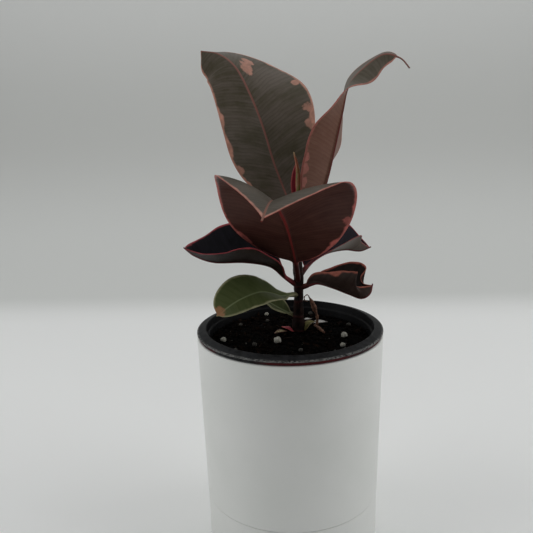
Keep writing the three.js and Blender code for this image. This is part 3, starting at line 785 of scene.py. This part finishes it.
rod("new_leaf", [TIP + Vector(p) for p in TIP_LINE], TIP_RADII, 24, 80, tip_finish(),
    wobble=0.2, seed=5)
crimson = scale_finish("bud_sheath_skin", rgb(0.26, 0.012, 0.040), rgb(0.36, 0.030, 0.055),
                       rgb(0.40, 0.06, 0.06), 0.42)
leaf_piece("bud_sheath", scale_shape(2.6, 35, 11, (-0.5, -1, 0)),
           [TIP + Vector((x, y * SHEATH_REACH, z)) for x, y, z in SHEATH_LINE],
           crimson, crimson, 60, 20)


# ------------------------------------------------------------ litter on the soil
def soil_height(x, y):
    """Height of the soil's mound at a spot, all in millimetres."""
    share = min(math.hypot(x, y) / (MOUTH_RADIUS / MM), 1)
    return (SOIL_EDGE + SOIL_MOUND * (1 + math.cos(math.pi * share)) / 2) / MM


def on_soil(x, y, above):
    """A point above the soil's surface, all in millimetres."""
    return Vector((x, y, soil_height(x, y) + above))


pale = scale_finish("pale_scale", rgb(0.32, 0.27, 0.14), rgb(0.22, 0.17, 0.085),
                    rgb(0.12, 0.05, 0.03))
silver = scale_finish("silver_scale", rgb(0.50, 0.50, 0.48), rgb(0.34, 0.33, 0.31),
                      rgb(0.16, 0.14, 0.13))
shoot = scale_finish("shoot_skin", rgb(0.13, 0.12, 0.025), rgb(0.20, 0.18, 0.05),
                     rgb(0.10, 0.07, 0.02), 0.5)
SCALE_LIFT = 0.55
SCALES = {
    "scale_pale": ([(-9, 1.5, 0.4), (-5, 2.5, 0.8), (-1.5, 4, 0.6)], 2.4, 18, pale),
    "scale_silver": ([(14, 21.5, 0.2), (18, 22.6, 0.9), (23, 23.5, 0.6)], 3.0, 4, silver),
    "scale_silver_small": ([(8.5, 29, 0), (11, 30, 0.4), (14, 30.8, 0.2)], 1.6, 6, silver),
    "shoot_green": ([(8.8, 6, 0), (11.4, 8, 3.4), (15.5, 11, 4.6)], 3.2, 30, shoot),
    "scale_red": ([(2, 4, 0.2), (-1.4, 4.6, 1.8), (-4.6, 6.5, 2.6)], 2.3, 25, crimson),
}
for seed, (scale_name, (spots, half_width, fold, skin)) in enumerate(SCALES.items(), 20):
    leaf_piece(scale_name, scale_shape(half_width, fold, seed),
               [on_soil(x, y, above + SCALE_LIFT) for x, y, above in spots], skin, skin, 40, 16)


def dry_finish():
    """Dry brown plant matter."""
    f = Finish("dry_stipule_skin")
    place = f.place()
    grain = f.noise(place, 700, 4, 0.6)
    colour = f.mix(grain.fade(0.35, 0.65), rgb(0.060, 0.022, 0.012), rgb(0.22, 0.10, 0.055))
    return f.surface(colour, 0.75, f.bump(grain, 0.3 * MM, 0.8))


STIPULE_LINE = [(16.5, 19, 0.6), (16.6, 18.6, 6), (14.8, 18, 12), (12.6, 17.4, 17),
                (10.9, 17, 19.8), (9.0, 16.8, 18.6), (9.2, 16.6, 16.4), (11.0, 16.6, 16.0)]
STIPULE_RADII = [0.7, 0.8, 1.0, 1.5, 1.0, 0.5, 0.4, 0.3]
TWIG_LINE = [(15, 15.5, 1.3), (17.2, 9, 1.5), (20, 2, 1.3)]
TWIG_RADII = [0.7, 0.9, 0.6]
dry = dry_finish()
rod("dry_stipule", [on_soil(*p) for p in STIPULE_LINE], STIPULE_RADII, 16, 130, dry,
    wobble=0.45, seed=8)
rod("twig", [on_soil(*p) for p in TWIG_LINE], TWIG_RADII, 14, 60, dry, wobble=0.35, seed=9)


def perlite_finish(name, low, high):
    """Rough pitted grain between two tones."""
    f = Finish(name)
    place = f.place()
    pits = f.spots(place, 1500)
    grain = f.noise(place, 900, 4, 0.6)
    colour = f.mix(grain.fade(0.35, 0.65), low, high)
    colour = f.mix(pits.fade(0.22, 0.05) * 0.6, colour, rgb(0.06, 0.05, 0.04))
    return f.surface(colour, 0.95, f.bump(grain + pits, 0.3 * MM, 0.8))


def perlite(piece, nodes, material):
    """Crumpled grains, each in the place and size of its CAD node."""
    bm = bmesh.new()
    for seed, name in enumerate(nodes):
        low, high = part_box(name)
        middle, half = (low + high) / 2, (high - low) / 2
        made = bmesh.ops.create_icosphere(bm, subdivisions=4, radius=1)
        for vert in made["verts"]:
            way = vert.co.normalized()
            push = 0.97 + 0.22 * noise.noise(way * 1.4 + Vector((seed * 3, 0, 0)))
            push += 0.10 * noise.noise(way * 4 + Vector((0, seed * 3, 0)))
            vert.co = middle + Vector((way.x * half.x, way.y * half.y, way.z * half.z)) * push
    finished(piece, bm, [material], SLOTS["perlite_1"], *nodes)


# The first five grains are pale; the others, and the specks, are darker all over.
PALE_GRAINS = [f"perlite_{number}" for number in range(1, 6)]
DARK_GRAINS = sorted(name for name in SLOTS if name.startswith("perlite_") and name not in PALE_GRAINS)
perlite("pale_perlite", PALE_GRAINS,
        perlite_finish("pale_perlite", rgb(0.30, 0.29, 0.24), rgb(0.50, 0.49, 0.43)))
dark_perlite_skin = perlite_finish("dark_perlite", rgb(0.020, 0.018, 0.015), rgb(0.085, 0.08, 0.068))
perlite("dark_perlite", DARK_GRAINS, dark_perlite_skin)


# ------------------------------------------------------------ soil
SOIL_FLOOR_GAP = 0.3
SOIL_RINGS = 46
SOIL_TURN_STEPS = 144
BATCH = 80
SCATTER_SHARE = 0.975


def soil_finish(name, dark, light):
    """Nearly black, grainy potting mix."""
    f = Finish(name)
    place = f.place()
    grain = f.noise(place, 420, 5, 0.65)
    lump = f.noise(place, 130, 3)
    colour = f.mix(grain.fade(0.40, 0.70), dark, light)
    colour = f.mix(lump.fade(0.55, 0.75) * 0.6, colour, rgb(0.008, 0.0045, 0.003))
    return f.surface(colour, 0.95, f.bump(grain + lump, 0.5 * MM, 0.9), Specular_IOR_Level=0.03)


def soil_body(material):
    """The soil's block: wall and floor of the pot's inside, and a lumpy top."""
    edge = SOIL_RADIUS / MM
    foot = POT_FOOT_INSIDE - SOIL_FLOOR_GAP
    reaches = [edge * (1 - i / SOIL_RINGS) for i in range(SOIL_RINGS + 1)]
    top = [(reach, soil_height(reach, 0)) for reach in reaches]
    bm = turned([(0, soil_low.z / MM), (foot, soil_low.z / MM), *top], SOIL_TURN_STEPS)
    for vert in bm.verts:
        if vert.co.z > SOIL_EDGE - 0.5 * MM:
            spot = Vector((vert.co.x, vert.co.y, 0))
            lift = noise.noise(spot * 90) * 0.8 + noise.noise(spot * 240) * 0.7
            lift += noise.noise(spot * 600) * 0.35
            vert.co.z += lift * MM * min((edge * MM - spot.length) / (2 * MM) + 0.2, 1)
    finished("soil_body", bm, [material], "soil_mix", "soil")


def scattered(name, count, seed, material, slot, sizes, stretch, block=False, sink=0.2):
    """Many tiny lumps or splinters strewn over the soil, built in batches for speed."""
    chance = random.Random(seed)
    bm = bmesh.new()
    batch = bmesh.new()
    for lump in range(count):
        if lump % BATCH == BATCH - 1:
            poured(batch, bm)
            batch = bmesh.new()
        reach = SOIL_RADIUS / MM * SCATTER_SHARE * math.sqrt(chance.random())
        turn = chance.uniform(0, math.tau)
        size = sizes[0] + (sizes[1] - sizes[0]) * chance.random() ** 2.2
        spot = on_soil(reach * math.cos(turn), reach * math.sin(turn), size * sink) * MM
        tilt = Matrix.Rotation(chance.uniform(0, math.tau), 4, "Z")
        tilt @= Matrix.Rotation(chance.gauss(0, 0.35), 4, "Y")
        tilt @= Matrix.Rotation(chance.gauss(0, 0.35), 4, "X")
        shape = [size * MM * chance.uniform(low, high) for low, high in stretch]
        place = Matrix.Translation(spot) @ tilt @ Matrix.Diagonal((*shape, 1))
        if block:
            bmesh.ops.create_cube(batch, size=1, matrix=place)
        else:
            bmesh.ops.create_icosphere(batch, subdivisions=1, radius=1, matrix=place)
    poured(batch, bm)
    finished(name, bm, [material], slot, smooth=False)


soil_body(soil_finish("soil_bed", rgb(0.0010, 0.0009, 0.0010), rgb(0.003, 0.0024, 0.002)))
scattered("soil_crumbs", 2600, 4, soil_finish("soil_crumb", rgb(0.0012, 0.001, 0.001),
                                              rgb(0.008, 0.006, 0.0048)),
          "soil_mix", (0.35, 1.7), [(0.8, 1.2), (0.7, 1.1), (0.4, 0.8)])
chip_skin = soil_finish("bark_chip", rgb(0.004, 0.0026, 0.002), rgb(0.022, 0.012, 0.008))
scattered("bark_chips", 260, 5, chip_skin, "soil_mix", (1.0, 3.6),
          [(0.9, 1.6), (0.35, 0.7), (0.15, 0.3)], block=True)
scattered("peat_fibres", 150, 6, chip_skin, "soil_mix", (3, 9),
          [(0.8, 1.4), (0.03, 0.05), (0.03, 0.05)], block=True, sink=0.1)
scattered("perlite_specks", 70, 7, dark_perlite_skin, "perlite", (0.25, 0.7),
          [(0.8, 1.2), (0.8, 1.2), (0.6, 1)], sink=0.5)


# ------------------------------------------------------------ pots
def glaze_finish():
    """Satin white moulding: very faint clouds, fine grain and a little dust low down."""
    f = Finish("satin_white")
    place = f.place()
    cloud = f.noise(place, 22, 3)
    dust = f.noise(place, 160, 4, 0.6)
    height = f.split(place)[2]
    colour = f.mix(cloud.fade(0.3, 0.7), rgb(0.755, 0.770, 0.740), rgb(0.79, 0.80, 0.775))
    low = height.fade(14 * MM, 0) * dust.fade(0.45, 0.7) * 0.35
    colour = f.mix(low + dust.fade(0.62, 0.8) * 0.08, colour, rgb(0.62, 0.61, 0.57))
    grain = f.bump(f.noise(place, 700, 2), 0.03 * MM, 0.35)
    return f.surface(colour, cloud * 0.12 + 0.38, grain)


def plastic_finish():
    """Black nursery plastic: a light grey edge on the lip that is partly scuffs and partly a
    painted highlight, dust on the slope, dark red under the lip.
    """
    f = Finish("black_plastic")
    place = f.place()
    across, depth, height = f.split(place)
    reach = (across * across + depth * depth).root()
    dust = f.noise(place, 240, 5, 0.65)
    scuff_and_highlight = f.noise(f.stretched(place, (1, 1, 5)), 700, 4, 0.6)
    slope = (reach - MOUTH_RADIUS).fade(-0.2 * MM, 0.5 * MM)
    # The lip's outer edge is painted light grey in streaks: partly scuffs, partly a painted
    # highlight along the edge.
    lip = (reach - LIP_RADIUS).fade(-1.3 * MM, -0.1 * MM) * height.fade(
        LIP_TOP - 3.1 * MM, LIP_TOP - 2.2 * MM)
    colour = f.mix(dust.fade(0.35, 0.7), rgb(0.0035, 0.0036, 0.0042), rgb(0.009, 0.0094, 0.0105))
    colour = f.mix(slope * dust.fade(0.3, 0.7) * 0.8, colour, rgb(0.026, 0.027, 0.029))
    colour = f.mix(lip * scuff_and_highlight.fade(0.40, 0.62) * 0.9, colour, rgb(0.26, 0.26, 0.25))
    collar = height.fade(LIP_TOP - 2.45 * MM, LIP_TOP - 2.65 * MM)
    outside = (reach - LIP_RADIUS).fade(-1.6 * MM, -1.2 * MM)
    band = f.noise(place, 34, 2).fade(0.36, 0.52)
    colour = f.mix(collar * outside * band, colour, rgb(0.060, 0.006, 0.008))
    relief = f.bump(dust + scuff_and_highlight * 0.5, 0.08 * MM, 0.6)
    return f.surface(colour, dust * 0.2 + 0.44, relief, Specular_IOR_Level=0.12)


# Sizes of the two pots, in millimetres.
TURN_STEPS = 160
SEAM_RADIUS = COVER_RADIUS / MM - 2.3
FOOT_RADIUS = SEAM_RADIUS - 0.4
WALL = 2.6
SEAM_GAP = 0.3
SPIGOT_PLAY = 0.6
BASE_FLOOR = 3
SPIGOT_FOOT = 9
COVER_FLOOR = 12


def white_pot(material):
    """Two parts of the cover pot: a cup, and a shell whose spigot stands in the cup."""
    seam, top, radius = SEAM_HEIGHT / MM, COVER_TOP / MM, COVER_RADIUS / MM
    base_radius = base_high.x / MM
    spigot = FOOT_RADIUS - WALL - SPIGOT_PLAY
    shell_seam = seam + SEAM_GAP
    finished("base_cup", turned(rounded([
        (0, 0), (FOOT_RADIUS, 0, 3), (base_radius, seam, 0.35),
        (base_radius - WALL, seam, 0.35), (FOOT_RADIUS - WALL, BASE_FLOOR, 1.5),
        (0, BASE_FLOOR)], 6), TURN_STEPS), [material], "white_pot", "pot_base")
    finished("cover_shell", turned(rounded([
        (0, SPIGOT_FOOT), (spigot, SPIGOT_FOOT, 1), (spigot, shell_seam, 0.1),
        (SEAM_RADIUS, shell_seam, 0.35), (radius, top, 0.9), (radius - WALL, top, 0.9),
        (SEAM_RADIUS - WALL, shell_seam + 4, 3), (spigot - WALL, shell_seam, 1),
        (spigot - WALL, COVER_FLOOR, 1), (0, COVER_FLOOR)], 6), TURN_STEPS),
        [material], "white_pot", "cover_pot")


white_pot(glaze_finish())

FLOOR_STEP = 1.6
DRAINS = 4
DRAIN_RADIUS = 4
DRAIN_REACH = 24


def nursery_shell(material):
    """Nursery pot: sloping rim, ledge, tapered wall and a floor with four drain holes."""
    lip, top, foot = LIP_RADIUS / MM, LIP_TOP / MM, POT_FOOT / MM
    mouth, seat = MOUTH_RADIUS / MM, COVER_TOP / MM + SEAM_GAP
    hang, ledge = lip - WALL - 1, mouth - 0.8
    outside, inside = POT_FOOT_RADIUS, POT_FOOT_INSIDE
    line = rounded([
        (outside, foot + 3), (outside, foot, 1), (inside - 1.5, foot, 0.2),
        (inside - 1.5, foot + FLOOR_STEP, 0.2), (inside, foot + FLOOR_STEP, 0.4),
        (ledge - 0.8, top - 4.8, 0.3), (ledge, top - 4, 0.3), (mouth, top, 0.6),
        (lip, top - 1.8, 0.35), (lip, top - 2.5, 0.2), (lip - 0.7, top - 2.5, 0.1),
        (lip - 0.7, seat, 0.2), (hang, seat, 0.2), (hang, seat - 2, 0.5),
        (outside, foot + 3)], 5)
    bm = turned(line, TURN_STEPS)
    floor = bmesh.new()
    bmesh.ops.create_circle(floor, segments=TURN_STEPS, radius=(inside - 1.4) * MM)
    for i in range(DRAINS):
        turn = (i + 0.5) * math.tau / DRAINS
        spot = Vector((math.cos(turn), math.sin(turn), 0)) * DRAIN_REACH * MM
        bmesh.ops.create_circle(floor, segments=24, radius=DRAIN_RADIUS * MM,
                                matrix=Matrix.Translation(spot))
    bmesh.ops.triangle_fill(floor, edges=floor.edges, use_beauty=True, use_dissolve=False)
    bmesh.ops.translate(floor, verts=floor.verts, vec=(0, 0, POT_FOOT + 0.05 * MM))
    lifted_copy(floor, (0, 0, 1.5 * MM))
    poured(floor, bm)
    finished("nursery_shell", bm, [material], "nursery_plastic", "nursery_pot")


nursery_shell(plastic_finish())


# ------------------------------------------------------------ stage, light and camera
SWEEP_LINE = [(-1.2, 0), (0.85, 0, 0.5), (1.0, 2.4)]
SWEEP_WIDTH = 4.4
# Painted shade on the paper: bands by height, in metres, that darken it, deepest low on the wall,
# standing in for the light falling off there.
PAPER_SHADE_BANDS = [(0.0, 0.0105, rgb(0.72, 0.735, 0.715)), (0.04, 0.20, rgb(0.60, 0.61, 0.59)),
               (0.22, 0.48, rgb(0.74, 0.75, 0.735))]


def stage():
    """A paper sweep behind the plant, with painted shade in bands that changes as it rises."""
    f = Finish("studio_paper")
    place = f.place()
    height = f.split(place)[2]
    tone = f.mix(f.noise(place, 3, 2), rgb(0.95, 0.96, 0.95), rgb(0.97, 0.98, 0.97))
    for start, end, colour in PAPER_SHADE_BANDS:
        tone = f.mix(height.fade(start, end), tone, colour)
    paper = f.surface(tone, 0.9)
    bm = bmesh.new()
    line = rounded(SWEEP_LINE, 24)
    verts = [bm.verts.new((-SWEEP_WIDTH / 2, y, z)) for y, z in line]
    edges = [bm.edges.new(pair) for pair in zip(verts, verts[1:])]
    made = bmesh.ops.extrude_edge_only(bm, edges=edges)
    moved = [g for g in made["geom"] if isinstance(g, bmesh.types.BMVert)]
    bmesh.ops.translate(bm, verts=moved, vec=(SWEEP_WIDTH, 0, 0))
    bmesh.ops.recalc_face_normals(bm, faces=bm.faces)
    placed("studio_sweep", bm, [paper])


def soft_light(name, place, aim, size, power):
    """A rectangular lamp that faces its aim."""
    data = bpy.data.lights.new(name, "AREA")
    data.shape = "RECTANGLE"
    data.size, data.size_y = size
    data.energy = power
    light = bpy.data.objects.new(name, data)
    light.location = place
    light.rotation_euler = (Vector(aim) - Vector(place)).to_track_quat("-Z", "Y").to_euler()
    bpy.context.collection.objects.link(light)


CAMERA_PLACE = (0, -0.374, 0.262)
CAMERA_YAW, CAMERA_PITCH, CAMERA_ROLL = -0.0338, 0.246, -0.0242
SENSOR_WIDTH = 36
FOCAL_LENGTH = 45.93


def camera():
    """The view from the front, slightly above the plant. Angles are in radians."""
    yaw, pitch, roll = CAMERA_YAW, CAMERA_PITCH, CAMERA_ROLL
    ahead = Vector((math.sin(yaw) * math.cos(pitch), math.cos(yaw) * math.cos(pitch),
                    -math.sin(pitch)))
    level = ahead.cross(Vector((0, 0, 1))).normalized()
    above = level.cross(ahead)
    right = level * math.cos(roll) + above * math.sin(roll)
    up = above * math.cos(roll) - level * math.sin(roll)
    data = bpy.data.cameras.new("view")
    data.sensor_width = SENSOR_WIDTH
    data.lens = FOCAL_LENGTH
    data.clip_start = 0.01
    eye = bpy.data.objects.new("view", data)
    turn = Matrix((right, up, -ahead)).transposed()
    eye.matrix_world = Matrix.Translation(Vector(CAMERA_PLACE)) @ turn.to_4x4()
    bpy.context.collection.objects.link(eye)
    bpy.context.scene.camera = eye


def surroundings(colour, strength):
    """Even light from all sides."""
    world = bpy.data.worlds.new("studio")
    world.use_nodes = True
    background = world.node_tree.nodes["Background"]
    background.inputs[0].default_value = colour
    background.inputs[1].default_value = strength
    bpy.context.scene.world = world


stage()
camera()
soft_light("left_box", (-0.9, -0.15, 0.55), (0, 0, 0.15), (0.8, 1.0), 2.95)
soft_light("right_box", (0.9, -0.1, 0.6), (0, 0, 0.15), (0.8, 1.0), 3.3)
soft_light("top_box", (0, 0.25, 1.3), (0, 0.1, 0), (1.4, 1.2), 4.5)
surroundings(rgb(0.86, 0.87, 0.88), 0.22)
bpy.context.scene.view_settings.view_transform = "Standard"
